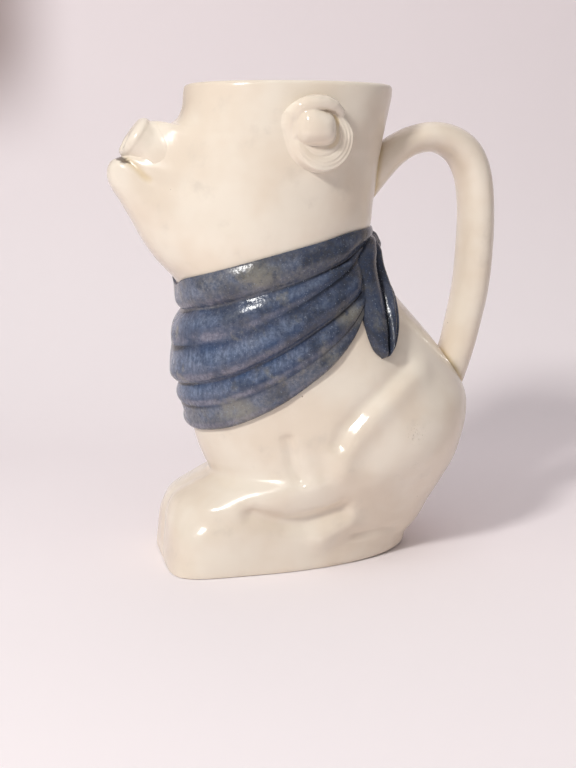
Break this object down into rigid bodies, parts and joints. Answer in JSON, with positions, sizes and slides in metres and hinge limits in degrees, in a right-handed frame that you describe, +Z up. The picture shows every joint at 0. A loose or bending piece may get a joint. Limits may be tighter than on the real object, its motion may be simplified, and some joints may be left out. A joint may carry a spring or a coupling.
{
  "type": "jug",
  "caption": "Upright glazed jug in the form of a seated pig with an open rim, a raised snout with a mouth slit, round ears, a folded neckerchief and a strap handle behind.",
  "frame": {"origin": "centre of the jug's outline seen from above, on the surface it stands on", "axes": "+Z up; -X the way the pig looks, so the handle is at +X; -Y the pig's left side, the one in the picture"},
  "size_m": [0.202, 0.1088, 0.24],
  "materials": {
    "cream_glaze": "glossy clear glaze over cream earthenware",
    "blue_glaze": "glossy mottled slate blue glaze"
  },
  "bodies": {
    "root": {"body_shell": "cream_glaze", "snout_disc": "cream_glaze", "ear_left": "cream_glaze", "ear_right": "cream_glaze", "handle": "cream_glaze", "scarf_band": "blue_glaze", "scarf_knot": "blue_glaze", "scarf_tail_left": "blue_glaze", "scarf_tail_right": "blue_glaze"}
  },
  "joints": []
}
